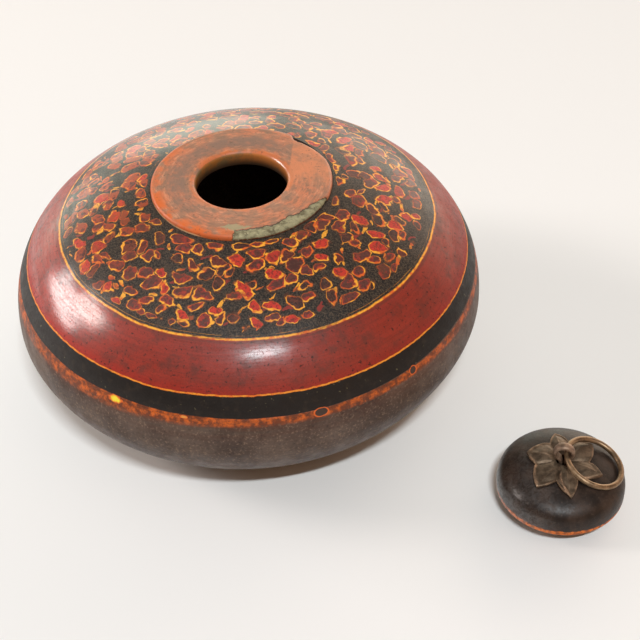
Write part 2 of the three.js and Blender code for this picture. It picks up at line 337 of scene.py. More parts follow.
def mouth_collar():
    """The collar, dense along its outer margin, where the lacquer has flaked off the core."""
    edge_r = COLLAR_RADIUS - COLLAR_EDGE_ROUND
    edge_z = collar_top - COLLAR_EDGE_ROUND
    lip_r = MOUTH_RADIUS + MOUTH_EDGE_ROUND
    lip_z = collar_top - MOUTH_EDGE_ROUND
    margin_r = COLLAR_RADIUS - MARGIN_WIDTH
    margin_steps = 26
    quarter = [radians(90 * i / 6) for i in range(7)]
    profile = [Vector((MOUTH_RADIUS, collar_seat - SLEEVE_DEPTH)),
               Vector((sleeve_radius, collar_seat - SLEEVE_DEPTH)),
               Vector((sleeve_radius, collar_seat)),
               *[Vector((COLLAR_RADIUS, collar_seat + (edge_z - collar_seat) * i / 4)) for i in range(4)],
               *[Vector((edge_r + COLLAR_EDGE_ROUND * cos(a), edge_z + COLLAR_EDGE_ROUND * sin(a)))
                 for a in quarter],
               *[Vector((edge_r + (margin_r - edge_r) * i / margin_steps, collar_top))
                 for i in range(1, margin_steps + 1)],
               *[Vector((lip_r - MOUTH_EDGE_ROUND * sin(a), lip_z + MOUTH_EDGE_ROUND * cos(a)))
                 for a in quarter]]
    bm = turned(soften(profile, 0.3 * mm), COLLAR_SIDES)
    flaked = bm.verts.layers.float.new("flaked")
    for vert in bm.verts:
        r = hypot(vert.co.x, vert.co.y)
        if r < margin_r:
            continue
        azimuth = degrees(atan2(vert.co.y, vert.co.x))
        width = lost_margin(FLAKE, azimuth)
        share = smooth_step(-0.2 * mm, 0.15 * mm, width - (COLLAR_RADIUS - r)) if width > 0 else 0
        grain = 1 + 0.35 * noise.noise(vert.co * 900) + 0.25 * noise.noise(vert.co * 300)
        drop = FLAKE_DEPTH * share * grain * smooth_step(0, 1 * mm, vert.co.z - collar_seat)
        draw_in = FLAKE_DEPTH * share * grain * smooth_step(edge_r - 1 * mm, edge_r + 1 * mm, r)
        draw_in += lost_margin(CHIP, azimuth) * smooth_step(margin_r, edge_r, r)
        vert.co.x *= 1 - draw_in / r
        vert.co.y *= 1 - draw_in / r
        vert.co.z -= drop
        vert[flaked] = share
    return bm


def knob_lid():
    """From the open end of the spigot out to the rim, over the dome, and back through the hollow."""
    rim = [radians(-90 + 90 * i / 5) for i in range(6)]
    top = lid_dome.along(radians(3), lid_dome.angle_at_radius(pin_hole_radius), steps=36)
    ceiling = lid_hollow.along(0, lid_hollow.angle_at_radius(pin_hole_radius), steps=14)[::-1]
    profile = [Vector((lid_hollow.radius, 0)), Vector((lid_spigot_radius, 0)),
               Vector((lid_spigot_radius, LID_SPIGOT_HEIGHT)),
               *[Vector((LID_RADIUS - LID_RIM_ROUND + LID_RIM_ROUND * cos(a),
                         LID_SPIGOT_HEIGHT + LID_RIM_ROUND + LID_RIM_ROUND * sin(a))) for a in rim],
               Vector((LID_RADIUS, lid_rim_top)), *top, *ceiling]
    return turned(soften(profile, 0.5 * mm), LID_SIDES)


def petal_at(azimuth):
    """(tip's azimuth, share of the way from the tip to the notch, edge radius) at an azimuth."""
    for i, (tip, tip_share) in enumerate(PETAL_TIPS):
        before, before_share = PETAL_NOTCHES[i - 1]
        after, after_share = PETAL_NOTCHES[i]
        away = (azimuth - tip + 180) % 360 - 180
        span = (after - tip) % 360 if away > 0 else (tip - before) % 360
        notch_share = after_share if away > 0 else before_share
        off = away / span
        if abs(off) <= 1:
            return tip, off, PETAL_REACH * (tip_share + (notch_share - tip_share) * abs(off))
    raise ValueError(azimuth)


def bump(offset, width):
    """1 at no offset, and almost 0 two widths away."""
    return exp(-(offset / width) ** 2)


def petal_relief(tip, across, out, azimuth):
    """Height of the sheet over a plain one, and its mark for rubbed wear and painted highlight, across a
    petal and out along it.
    """
    swell = sin(pi * min(out, 1)) * (1 - across ** 2)
    crease = bump(1 - abs(across), 0.16) * smooth_step(0.15, 0.5, out)
    vein = bump(across, 0.09) * smooth_step(0.1, 0.4, out) * (1 - out)
    curl = smooth_step(0.86, 0.98, out)
    fold = 0
    if tip == FRONT_PETAL:
        ridge = -0.78 + 0.6 * smooth_step(0.6, 0.95, out)
        fold = bump(across - ridge, 0.13) * smooth_step(0.3, 0.5, out)
    if tip == LEFT_PETAL:
        curl *= 1.7 if across < 0 else 1
        shade_line = 0.45 - 0.5 * smooth_step(0.25, 0.7, out)
        fold = -0.5 * bump(across - shade_line, 0.1) * smooth_step(0.2, 0.35, out) * (1 - out)
    if tip == RIGHT_PETAL:
        rim = abs(across) ** 6 + out ** 6
        fold = 0.55 * bump(rim - 0.75, 0.22)
    dents = noise.noise(Vector((cos(azimuth), sin(azimuth), 0)) * out * 7)
    height = PETAL_PUFF * swell + PETAL_CURL * (curl - crease) + PETAL_VEIN * vein
    height += PETAL_FOLD * fold + PETAL_DENT * dents
    return height, min(max(curl * 0.8 + max(fold, 0) + 0.4 * vein, 0), 1)


def petal_washer():
    """A sheet cut to petals, draped on the lid's dome, puffed, creased and curled at its edges."""
    bm = bmesh.new()
    bmesh.ops.create_grid(bm, x_segments=WASHER_SIDES, y_segments=26, size=0.5)
    # Marks the curls, folds and veins for rubbed wear together with painted highlight
    rubbed = bm.verts.layers.float.new("rubbed")
    for vert in bm.verts:
        azimuth = 360 * (vert.co.x + 0.5)
        out = vert.co.y + 0.5
        tip, across, edge = petal_at(azimuth)
        r = pin_hole_radius + (edge - pin_hole_radius) * out
        relief, vert[rubbed] = petal_relief(tip, across, out, radians(azimuth))
        z = lid_dome.height(r) + FIT_GAP + PETAL_SHEET + relief * smooth_step(0, 0.2, out)
        vert.co = (r * cos(radians(azimuth)), r * sin(radians(azimuth)), z)
    bmesh.ops.remove_doubles(bm, verts=bm.verts, dist=0.01 * mm)
    under = bmesh.ops.extrude_face_region(bm, geom=bm.faces[:], use_keep_orig=True)["geom"]
    bmesh.ops.translate(
        bm, vec=(0, 0, -PETAL_SHEET), verts=[v for v in under if isinstance(v, bmesh.types.BMVert)])
    bmesh.ops.recalc_face_normals(bm, faces=bm.faces)
    sharp = [e for e in bm.edges if e.calc_face_angle(0) > radians(55)]
    bmesh.ops.bevel(
        bm, geom=sharp, offset=0.16 * mm, segments=2, profile=0.5, affect="EDGES", material=-1,
        clamp_overlap=True)
    return bm


def turned_about(pivot_x, pivot_z, angle):
    """The move that turns things in the XZ plane about a point."""
    pivot = Vector((pivot_x, 0, pivot_z))
    return Matrix.Translation(pivot) @ Matrix.Rotation(angle, 4, "Y") @ Matrix.Translation(-pivot)


def eye_strap():
    """Half a strap, bent from the top of the eye to the end of one leg, and then mirrored.

    Its section is domed on the eye's outer side and nearly flat on the inner one.
    """
    eye_middle = EYE_RADIUS + STRAP_THICKNESS / 2
    shank = (STRAP_GAP + STRAP_THICKNESS) / 2
    opening = asin(shank / eye_middle) + EYE_OPENING
    meet = opening - pi / 2
    neck_bend = (eye_middle * cos(meet) - shank) / (1 - cos(pi / 2 - opening))
    neck_x = (eye_middle + neck_bend) * cos(meet)
    neck_z = eye_height + (eye_middle + neck_bend) * sin(meet)
    leg_bend = STRAP_THICKNESS
    leg_drop = FIT_GAP + STRAP_THICKNESS / 2
    leg_start = lid_hollow.height(hypot(shank + leg_bend, STRAP_WIDTH / 2)) - leg_drop
    leg_end = lid_hollow.height(hypot(LEG_SPREAD, STRAP_WIDTH / 2)) - leg_drop
    leg_slope = atan2(leg_start - leg_end, LEG_SPREAD - shank - leg_bend)
    leg_length = hypot(leg_start - leg_end, LEG_SPREAD - shank - leg_bend)

    bm = bmesh.new()
    bmesh.ops.create_circle(bm, cap_ends=True, segments=STRAP_SIDES, radius=1)
    for vert in bm.verts:
        across, out = vert.co.x, vert.co.y
        side = STRAP_WIDTH / 2 * (abs(across) ** 0.75) * (1 if across > 0 else -1)
        thick = 0.62 * abs(out) if out > 0 else -0.38 * abs(out) ** 0.4
        vert.co = (0, side, eye_height + eye_middle + STRAP_THICKNESS * (thick - 0.12))
    end = bm.faces[:]

    def carry(move, count):
        """Carries the strap's open end on by a move, again and again."""
        nonlocal end
        for _ in range(count):
            made = bmesh.ops.extrude_face_region(bm, geom=end)["geom"]
            bmesh.ops.delete(bm, geom=end, context="FACES_ONLY")
            end = [g for g in made if isinstance(g, bmesh.types.BMFace)]
            bmesh.ops.transform(bm, matrix=move, verts=end[0].verts[:])

    carry(turned_about(0, eye_height, (pi - opening) / 24), 24)
    carry(turned_about(neck_x, neck_z, -(pi / 2 - opening) / 8), 8)
    drop = neck_z - leg_start - leg_bend
    carry(Matrix.Translation((0, 0, -drop / 4)), 4)
    carry(turned_about(shank + leg_bend, leg_start + leg_bend, -(pi / 2 - leg_slope) / 8), 8)
    carry(Matrix.Translation(Vector((cos(leg_slope), 0, -sin(leg_slope))) * leg_length / 4), 4)
    bmesh.ops.mirror(bm, geom=bm.verts[:] + bm.edges[:] + bm.faces[:], merge_dist=0.002 * mm, axis="X")
    bmesh.ops.remove_doubles(bm, verts=bm.verts, dist=0.001 * mm)
    bmesh.ops.recalc_face_normals(bm, faces=bm.faces)
    return bm


def brass_ring():
    """Round wire, worn thinner where it hangs in the eye."""
    bm = bmesh.new()
    section = Matrix.Translation((RING_RADIUS, 0, 0)) @ Matrix.Rotation(pi / 2, 4, "X")
    bmesh.ops.create_circle(bm, segments=WIRE_SIDES, radius=RING_WIRE / 2, matrix=section)
    bmesh.ops.spin(
        bm, geom=bm.verts[:] + bm.edges[:], cent=(0, 0, 0), axis=(0, 0, 1), angle=2 * pi,
        steps=RING_SIDES, use_merge=True)
    bmesh.ops.recalc_face_normals(bm, faces=bm.faces)
    for vert in bm.verts:
        angle = atan2(vert.co.y, vert.co.x)
        middle = Vector((cos(angle), sin(angle), 0)) * RING_RADIUS
        worn = RING_WEAR * smooth_step(radians(40), 0, pi - abs(angle))
        uneven = 0.03 * noise.noise(middle * 160)
        vert.co = middle + (vert.co - middle) * (1 - worn - abs(uneven))
    return bm


class Value:
    """One output socket, with Python's operators adding Math nodes."""

    def __init__(self, nodes, socket):
        self.nodes = nodes
        self.socket = socket

    def __getitem__(self, name):
        return Value(self.nodes, self.socket.node.outputs[name])

    def maths(self, operation, first, second=0.0, third=0.0):
        inputs = {0: first, 1: second, 2: third}
        return self.nodes.node("ShaderNodeMath", {"operation": operation}, inputs)

    def __add__(self, other):
        return self.maths("ADD", self, other)

    def __radd__(self, other):
        return self.maths("ADD", other, self)

    def __sub__(self, other):
        return self.maths("SUBTRACT", self, other)

    def __rsub__(self, other):
        return self.maths("SUBTRACT", other, self)

    def __mul__(self, other):
        return self.maths("MULTIPLY", self, other)

    def __rmul__(self, other):
        return self.maths("MULTIPLY", other, self)

    def __truediv__(self, other):
        return self.maths("DIVIDE", self, other)

    def __pow__(self, other):
        return self.maths("POWER", self, other)

    def absolute(self):
        return self.maths("ABSOLUTE", self)

    def least(self, other, blend=0.0):
        if blend:
            return self.maths("SMOOTH_MIN", self, other, blend)
        return self.maths("MINIMUM", self, other)

    def most(self, other):
        return self.maths("MAXIMUM", self, other)

    def ramp(self, low, high, first=0.0, last=1.0):
        """Goes from first to last as the value goes from low to high."""
        inputs = {"Value": self, "From Min": low, "From Max": high, "To Min": first, "To Max": last}
        return self.nodes.node("ShaderNodeMapRange", {"interpolation_type": "SMOOTHSTEP"}, inputs)


class Nodes:
    """A node tree under construction."""

    def __init__(self, tree):
        self.tree = tree
        self.tree.nodes.clear()

    def node(self, kind, settings=None, inputs=None, output=0):
        made = self.tree.nodes.new(kind)
        for name, value in (settings or {}).items():
            setattr(made, name, value)
        for name, value in (inputs or {}).items():
            socket = made.inputs[name]
            if isinstance(value, Value):
                self.tree.links.new(value.socket, socket)
            else:
                socket.default_value = value
        return Value(self, made.outputs[output]) if len(made.outputs) else None

    def split(self, vector):
        parts = self.node("ShaderNodeSeparateXYZ", inputs={0: vector})
        return parts["X"], parts["Y"], parts["Z"]

    def vector(self, operation, first, second=(0, 0, 0), output="Vector"):
        settings = {"operation": operation}
        return self.node("ShaderNodeVectorMath", settings, {0: first, 1: second}, output)

    def scaled(self, vector, scale):
        return self.node("ShaderNodeVectorMath", {"operation": "SCALE"}, {0: vector, "Scale": scale})

    def joined(self, x, y, z=0.0):
        return self.node("ShaderNodeCombineXYZ", inputs={"X": x, "Y": y, "Z": z})

    def mix(self, factor, first, second):
        return self.node("ShaderNodeMix", {"data_type": "RGBA"}, {0: factor, 6: first, 7: second}, 2)

    def over(self, shade, *layers):
        """Lays (mask, colour) pairs over a shade, one after another."""
        for mask, tint in layers:
            shade = self.mix(mask, shade, tint)
        return shade


class Finish(Nodes):
    """A material under construction, with its place on the piece measured from the piece's axis."""

    def __init__(self, name, centre=(0, 0, 0)):
        self.material = bpy.data.materials.new(name)
        self.material.use_nodes = True
        super().__init__(self.material.node_tree)
        spot = self.node("ShaderNodeTexCoord", output="Object")
        self.place = self.node("ShaderNodeMapping", inputs={"Vector": spot, "Location": -Vector(centre)})
        self.x, self.y, self.z = self.split(self.place)
        self.radius = self.vector("LENGTH", self.joined(self.x, self.y), output="Value")

    def noise(self, scale, detail=3.0, roughness=0.55, distortion=0.0, place=None):
        inputs = {"Vector": place or self.place, "Scale": scale, "Detail": detail,
                  "Roughness": roughness, "Distortion": distortion}
        return self.node("ShaderNodeTexNoise", inputs=inputs)

    def streaks(self, along, across, detail=3.0, roughness=0.6, lean=-1):
        """Noise drawn out round the axis, as a tool or brush leaves it, in features per metre."""
        turn = along * BELLY_RADIUS
        cross = (self.z + self.radius * lean) * across
        place = self.joined(self.x / self.radius * turn, self.y / self.radius * turn, cross)
        return self.noise(1.0, detail, roughness, place=place)

    def bearing(self, azimuth):
        """1 at an azimuth in degrees, falling to -1 on the far side."""
        aim = (cos(radians(azimuth)), sin(radians(azimuth)), 0)
        level = self.vector("NORMALIZE", self.joined(self.x, self.y))
        return self.vector("DOT_PRODUCT", level, aim, "Value")

    def patch(self, azimuth, radius, height, wide, tall):
        """Distance from a spot on a turned surface, 1 at the edge of an ellipse round it."""
        turn = radians(azimuth)
        side = self.vector("DOT_PRODUCT", self.place, (-sin(turn), cos(turn), 0), "Value")
        out = self.vector("DOT_PRODUCT", self.place, (cos(turn), sin(turn), 0), "Value")
        offset = self.joined(side / (wide / 2), (self.z - height) / (tall / 2), (out - radius) / (8 * mm))
        return self.vector("LENGTH", offset, output="Value")

    def attribute(self, name):
        return self.node("ShaderNodeAttribute", {"attribute_name": name}, output="Fac")

    def finished(self, colour, roughness, height=None, depth=0.1 * mm, metallic=0.0, coat=None,
                 haze=0.2, sheen=0.5):
        """The material; haze blurs the coat, sheen is how strongly the surface under it reflects."""
        inputs = {"Base Color": colour, "Roughness": roughness, "Metallic": metallic}
        inputs["Specular IOR Level"] = sheen
        if coat is not None:
            inputs["Coat Weight"] = coat
            inputs["Coat Roughness"] = haze
            inputs["Coat IOR"] = 1.8
        if height is not None:
            bump = {"Height": height, "Distance": depth, "Strength": 1.0}
            inputs["Normal"] = self.node("ShaderNodeBump", inputs=bump)
        shader = self.node("ShaderNodeBsdfPrincipled", inputs=inputs)
        self.node("ShaderNodeOutputMaterial", inputs={"Surface": shader})
        return self.material


def colour(red, green, blue):
    """A colour as it looks on a screen, from 0 to 255, as a linear one."""
    def linear(value):
        value /= 255
        return value / 12.92 if value <= 0.04045 else ((value + 0.055) / 1.055) ** 2.4
    return (linear(red), linear(green), linear(blue), 1)


# Lacquers of the box, then of its collar, of the lid, and then the metals and the table
BLACK = colour(22, 17, 14)
SOOT = colour(82, 68, 54)
DARK_RED = colour(104, 34, 26)
RED = colour(166, 48, 32)
BRIGHT_RED = colour(206, 52, 36)
EARTH_RED = colour(140, 46, 38)
MAUVE = colour(96, 52, 44)
ORANGE = colour(216, 98, 32)
YELLOW = colour(248, 172, 50)
LEMON = colour(236, 216, 54)
BROWN = colour(62, 44, 34)
GREY_BROWN = colour(94, 76, 64)
RUST = colour(108, 50, 20)
INK = colour(26, 19, 15)
WARM_BLACK = colour(42, 32, 24)
DUSTY_BROWN = colour(84, 66, 50)
RED_BROWN = colour(112, 60, 34)
DRIED_RED = colour(70, 36, 30)
SMOKED_RED = colour(92, 44, 36)
# Painted shade for the red band's front right
SHADED_RED = colour(98, 40, 28)
CLEAR_RED = colour(172, 34, 20)
BURNT_ORANGE = colour(198, 92, 24)
STRAW = colour(214, 146, 66)
DUST = colour(128, 104, 84)

BRICK = colour(198, 120, 84)
PALE_BRICK = colour(216, 148, 112)
UMBER = colour(160, 116, 90)
WORN_UMBER = colour(128, 100, 80)
WORN_GREY = colour(132, 104, 88)
FRESH_ORANGE = colour(212, 104, 44)
LIP_ORANGE = colour(208, 112, 58)
RIM_ORANGE = colour(200, 92, 36)
MENDED_ORANGE = colour(210, 130, 88)
BARE_WOOD = colour(226, 184, 138)
GRIME = colour(78, 60, 48)
OCHRE = colour(168, 104, 44)
# Painted light and painted shade for the wall of the mouth
LIT_OCHRE = colour(190, 114, 56)
SHADED_OCHRE = colour(60, 42, 26)
OLIVE = colour(120, 96, 60)
CORE = colour(156, 150, 116)
CORE_PALE = colour(176, 168, 132)
CORE_DARK = colour(100, 92, 66)
STEP_SHADE = colour(52, 40, 28)

LID_BLACK = colour(34, 25, 20)
LID_BROWN = colour(62, 47, 38)
LID_DUST = colour(86, 70, 58)
WORN_RIM = colour(216, 112, 30)
WORN_RIM_DARK = colour(140, 70, 24)

SHEET_DARK = colour(84, 70, 56)
SHEET_LIGHT = colour(116, 98, 80)
STRAP_DARK = colour(128, 106, 88)
STRAP_LIGHT = colour(158, 132, 112)
# Rubbed bronze that also stands in for painted highlight on the rosette's curled edges
BRONZE_RUB_AND_HIGHLIGHT = colour(176, 142, 114)
BRONZE_DIRT = colour(66, 56, 44)
BRASS = colour(158, 130, 100)
BRASS_DARK = colour(116, 94, 72)
BRASS_DIRT = colour(86, 66, 46)
TABLE_WHITE = (0.86, 0.86, 0.85, 1)


def islands(paint, spacing, shift, size, length):
    """A layer of islands: a field that is over 0 inside them, their tones, and the side of each."""
    stretch = (1 + (paint.radius / (90 * mm)) ** 2 * CROWN_SLOPE) / spacing
    flat = paint.vector("ADD", paint.joined(paint.x * stretch, paint.y * stretch), shift)
    broad = paint.vector("SUBTRACT", paint.noise(0.9 / spacing, 1.5)["Color"], (0.5, 0.5, 0.5))
    fine = paint.vector("SUBTRACT", paint.noise(3.4 / spacing, 1.0)["Color"], (0.5, 0.5, 0.5))
    spot = paint.vector("ADD", flat, paint.scaled(broad, 0.8))
    spot = paint.vector("MULTIPLY", paint.vector("ADD", spot, paint.scaled(fine, 0.26)), (1, 1, 0))
    places = {"Vector": spot, "Scale": 1.0, "Randomness": 0.8}
    cells = {"voronoi_dimensions": "2D", "feature": "F1"}
    edges = {"voronoi_dimensions": "2D", "feature": "DISTANCE_TO_EDGE"}
    cell = paint.node("ShaderNodeTexVoronoi", cells, places)
    edge = paint.node("ShaderNodeTexVoronoi", edges, places, "Distance")
    tones = paint.split(cell["Color"])

    # Distance from the middle of the island, larger along the way that the island leans
    offset = paint.vector("SUBTRACT", spot, cell["Position"])
    outward = paint.vector("NORMALIZE", paint.joined(paint.x, paint.y))
    astray = paint.joined((tones[1] - 0.5) * 2.2, (tones[2] - 0.5) * 2.2)
    lean = paint.vector("NORMALIZE", paint.vector("ADD", outward, astray))
    across = paint.vector("DOT_PRODUCT", offset, lean, "Value")
    level = paint.vector("DOT_PRODUCT", offset, offset, "Value")
    distance = (level + across * across * length) ** 0.5
    field = (size * (0.55 + 0.6 * tones[0]) - distance).least(edge + 0.05, 0.3)
    return field, tones, across / (level ** 0.5 + 0.05)


def marbled_crown(paint):
    """Islands of red lacquer outlined in yellow, thicker on the outer side, on a black ground."""
    grain = paint.noise(1400, 3, 0.7)
    smear = paint.noise(260, 4, 0.7)
    ground = paint.over(
        BLACK,
        (grain.ramp(0.42, 0.66), SOOT),
        (smear.ramp(0.5, 0.72, 0, 0.5), DUSTY_BROWN))

    # Islands, kept off both edges of the crown, with a broken outline of uneven width
    field, tones, side = islands(paint, ISLAND_SPACING, shift=(3.1, 7.7, 0), size=0.65, length=1.6)
    margin = paint.radius.ramp(CROWN_EDGE - 1.5 * mm, CROWN_EDGE + 1 * mm, 0, 0.5)
    margin = margin + paint.radius.ramp(CROWN_INNER, CROWN_INNER - 2 * mm, 0, 0.5)
    ragged = (paint.noise(760, 2) - 0.5) * 0.12
    field = field - margin + ragged
    outline = (0.08 + side * 0.09 + (paint.noise(230, 1) - 0.5) * 0.3).most(0.01)
    inner = field - outline

    # Smaller dashes between the islands
    dash_spacing = ISLAND_SPACING * 0.6
    dashes, dash_tones, _ = islands(paint, dash_spacing, shift=(11.3, 2.9, 0), size=0.72, length=14)
    dashes = (dashes - dash_tones[1].ramp(0.75, 0.65, 0, 1) - margin).least(-0.02 - field) + ragged

    gold = paint.over(
        ORANGE,
        (paint.noise(190, 2).ramp(0.4, 0.55), YELLOW),
        (paint.noise(130, 3).ramp(0.55, 0.7, 0, 0.7), EARTH_RED))
    heart = paint.over(
        EARTH_RED,
        (inner.ramp(0.02, 0.16), MAUVE),
        (smear.ramp(0.5, 0.62, 0, 0.6), BRIGHT_RED),
        (tones[1].ramp(0.24, 0.16, 0, 0.85), BRIGHT_RED),
        (tones[2].ramp(0.72, 0.8, 0, 0.8), ground),
        (paint.noise(700, 3, 0.7).ramp(0.46, 0.62, 0, 0.7), DRIED_RED),
        (inner.ramp(0.07, 0.0, 0, 0.5), paint.mix(0.5, BRIGHT_RED, ORANGE)))
    # Islands turn warmer and more orange towards the back left: partly worn lacquer, partly painted sheen
    # of the window's light
    wear_and_painted_sheen = paint.bearing(150).ramp(0.2, 0.95, 0, 0.85) * smear.ramp(0.42, 0.58)
    island = paint.over(
        gold,
        (inner.ramp(-0.02, 0.04), heart),
        (wear_and_painted_sheen, paint.mix(0.35, ORANGE, BRIGHT_RED)))

    # Wear, and then the layers laid over each other
    rubbed = paint.noise(70, 3, 0.6).ramp(0.5, 0.7) * tones[1].ramp(0.2, 0.7) * grain.ramp(0.35, 0.55)
    chipped = paint.noise(260, 4, 0.7).ramp(0.5, 0.6) * paint.bearing(175).ramp(0.2, 0.9, 0.15, 0.55)
    shown = field.ramp(-0.01, 0.05) * (1 - 0.8 * rubbed) * (1 - chipped)
    dash = dashes.ramp(-0.01, 0.05, 0, 0.9) * smear.ramp(0.3, 0.5, 0.3, 1)
    crown = paint.over(
        ground,
        (field.ramp(-0.14, 0.02, 0, 0.6), RED_BROWN),
        (dash, paint.mix(dash_tones[2].ramp(0.15, 0.4), EARTH_RED, gold)),
        (shown, island))
    return crown, field


def seen_height(paint):
    """Height on the turned bands, a little uneven and lower to the right, as they were drawn."""
    wander = (paint.noise(28, 2) - 0.5) * (1.3 * mm) + (paint.streaks(260, 60, 2) - 0.5) * (0.35 * mm)
    return paint.z + wander + paint.x * BAND_TILT


def line_mask(height, line, width):
    """1 on a thin hand-held line at a height, 0 off it."""
    return (height - line).absolute().ramp(width / 2, width / 2 - 0.35 * mm)


def fleck_on(paint, stripe, place, ragged, bright):
    """The (mask, colour) of the stripe with a chipped fleck on it, bright in its middle."""
    mask, shade = stripe
    azimuth, wide, tall = place
    spot = paint.patch(azimuth, seam_radius, SEAM_HEIGHT + 0.1 * mm, wide, tall) + ragged
    shown = spot.ramp(1.1, 0.85)
    return mask.most(shown), paint.mix(shown, shade, paint.mix(spot.ramp(0.4, 0.9), bright, ORANGE))


def loop_on(paint, stripe, place, ragged):
    """The (mask, colour) of the stripe with a small brown loop on it, edged in orange."""
    mask, shade = stripe
    azimuth, wide = place
    spot = paint.patch(azimuth, seam_radius, SEAM_HEIGHT - 1.6 * mm, wide, LOOP_HEIGHT) + ragged * 0.4
    shown = spot.ramp(1.2, 1.0)
    return mask.most(shown), paint.mix(spot.ramp(0.98, 0.82), paint.mix(shown, shade, ORANGE), BROWN)


def seam_stripe(paint, height):
    """(mask, colour) of the rubbed orange stripe over the seam, with its flecks and loops."""
    mottle = paint.streaks(55, 640, 4, 0.6)
    uneven = (mottle - 0.5) * (1.6 * mm)
    top = SEAM_HEIGHT + paint.bearing(-170).ramp(0.1, 0.75, 0.2 * mm, 0.7 * mm)
    above = (height - top).ramp(0.4 * mm, 0)
    depth = STRIPE_HEIGHT * paint.bearing(-170).ramp(0.3, 0.9, 0.9, 1.5)
    under = ((height + uneven - SEAM_HEIGHT) / depth).ramp(-1.2, -0.6)
    mask = above * under * mottle.ramp(0.22, 0.5, 0.4, 1)
    blotch = paint.noise(300, 4, 0.65)
    shade = paint.over(
        RUST,
        (blotch.ramp(0.4, 0.66), BURNT_ORANGE),
        (paint.noise(900, 2).ramp(0.55, 0.7, 0, 0.6), BROWN))
    ragged = (paint.noise(500, 2) - 0.5) * 0.9
    stripe = fleck_on(paint, (mask, shade), BRIGHT_FLECK, ragged, LEMON)
    stripe = fleck_on(paint, stripe, DULL_FLECK, ragged, STRAW)
    for loop in LOOPS:
        stripe = loop_on(paint, stripe, loop, ragged)
    return stripe


def red_band(paint, height, brush, specks):
    """Brushed red, smoked in places, brightest along its lower line, with painted shade darkening it to
    the right.
    """
    return paint.over(
        RED,
        (brush.ramp(0.35, 0.75, 0, 0.5), DARK_RED),
        (paint.noise(95, 5, 0.7).ramp(0.46, 0.68, 0, 0.8), SMOKED_RED),
        (height.ramp(RED_LINE + 5 * mm, RED_LINE + 1 * mm, 0, 0.6), CLEAR_RED),
        (paint.noise(1100, 3, 0.7).ramp(0.5, 0.7, 0, 0.6), DARK_RED),
        # Painted shade: the red darkens towards the front right
        (paint.bearing(-60).ramp(-0.1, 0.8, 0, 0.4), SHADED_RED),
        (specks.ramp(0.6, 0.7, 0, 0.8), BLACK))


def black_band(paint):
    """Nearly black, with a few pale chips."""
    return paint.over(
        INK,
        (paint.noise(240, 4).ramp(0.5, 0.75), WARM_BLACK),
        (paint.noise(520, 1).ramp(0.72, 0.77, 0, 0.6), CORE_DARK))


def yellow_lines(paint, height, shade):
    """The thin lines over and under the red band, worn through here and there, with a thin line of painted
    shade under the upper one.
    """
    gold = paint.mix(paint.noise(420, 3).ramp(0.3, 0.6), ORANGE, YELLOW)
    worn = paint.streaks(70, 300, 2).ramp(0.24, 0.4)
    strands = paint.streaks(34, 900, 3, 0.6)
    wobble = (paint.streaks(300, 300, 2) - 0.5) * (0.7 * mm)
    upper = line_mask(height, PATTERN_LINE, LINE_HEIGHT * 0.95) * strands.ramp(0.3, 0.4)
    beside = line_mask(height, PATTERN_LINE + LINE_HEIGHT, LINE_HEIGHT * 0.35)
    # A thin line of painted shade just under the upper line
    shade_line = line_mask(height, PATTERN_LINE - 0.9 * mm, 1 * mm)
    lower = line_mask(height + wobble, RED_LINE, LINE_HEIGHT)
    return paint.over(
        shade,
        (beside * strands.ramp(0.5, 0.56), gold),
        (shade_line * 0.35, BROWN),
        (upper * worn, gold),
        (lower * worn, paint.mix(0.45, gold, ORANGE)))


def dome_polish(paint, height):
    """Where the dome is still glossy: its front left, in streaks, and the far side of its crown."""
    polish = paint.bearing(-150).ramp(0.45, 0.97, 0.2, 1)
    polish = polish * paint.streaks(60, 900, 4, 0.7).ramp(0.35, 0.6, 0.5, 1)
    polish = polish * paint.noise(1000, 3, 0.7).ramp(0.32, 0.52, 0.4, 1)
    polish = polish * height.ramp(RED_LINE - 1 * mm, RED_LINE + 6 * mm, 0.08, 1)
    return polish.most(paint.bearing(112).ramp(0.6, 1, 0, 0.75) * height.ramp(RED_LINE, PATTERN_LINE))


def dome_lacquer():
    """Marbled crown, red band and black band, divided by thin yellow lines."""
    paint = Finish("dome_lacquer")
    height = seen_height(paint)
    brush = paint.streaks(26, 620, 4, 0.65)
    specks = paint.noise(640, 3, 0.6)
    crown, field = marbled_crown(paint)
    over_black = height.ramp(RED_LINE - LINE_BLUR, RED_LINE + LINE_BLUR)
    over_red = height.ramp(PATTERN_LINE - LINE_BLUR, PATTERN_LINE + LINE_BLUR)
    shade = paint.over(
        black_band(paint),
        (over_black, red_band(paint, height, brush, specks)),
        (over_red, crown))
    shade = paint.over(yellow_lines(paint, height, shade), seam_stripe(paint, height))

    relief = brush * 0.5 + specks * 0.35 + field.ramp(-0.02, 0.05) * 0.3 + paint.noise(1300, 2) * 0.5
    roughness = 0.46 + paint.noise(180, 3).ramp(0.3, 0.7, 0, 0.14) + specks.ramp(0.5, 0.7, 0, 0.1)
    polish = dome_polish(paint, height)
    return paint.finished(shade, roughness, relief, 0.12 * mm, coat=polish, sheen=0.28)


def bowl_lacquer():
    """Brown lacquer, rubbed grey in places, stained with rust under the seam's stripe."""
    paint = Finish("bowl_lacquer")
    height = seen_height(paint)
    brush = paint.streaks(20, 520, 4, 0.6, lean=1)
    grain = paint.noise(800, 3, 0.6)
    stained = height.ramp(SEAM_HEIGHT - 16 * mm, SEAM_HEIGHT, 0, 0.28)
    shade = paint.over(
        BROWN,
        (paint.noise(42, 4, 0.6).ramp(0.35, 0.7), GREY_BROWN),
        (brush.ramp(0.4, 0.75, 0, 0.5), BROWN),
        (stained * brush.ramp(0.3, 0.6), RUST),
        (grain.ramp(0.55, 0.75, 0, 0.6), BLACK),
        (grain.ramp(0.47, 0.3, 0, 0.6), DUST),
        seam_stripe(paint, height))
    roughness = 0.42 + paint.noise(160, 3).ramp(0.3, 0.7, 0, 0.16)
    return paint.finished(shade, roughness, brush * 0.5 + grain * 0.4, 0.08 * mm, sheen=0.35)


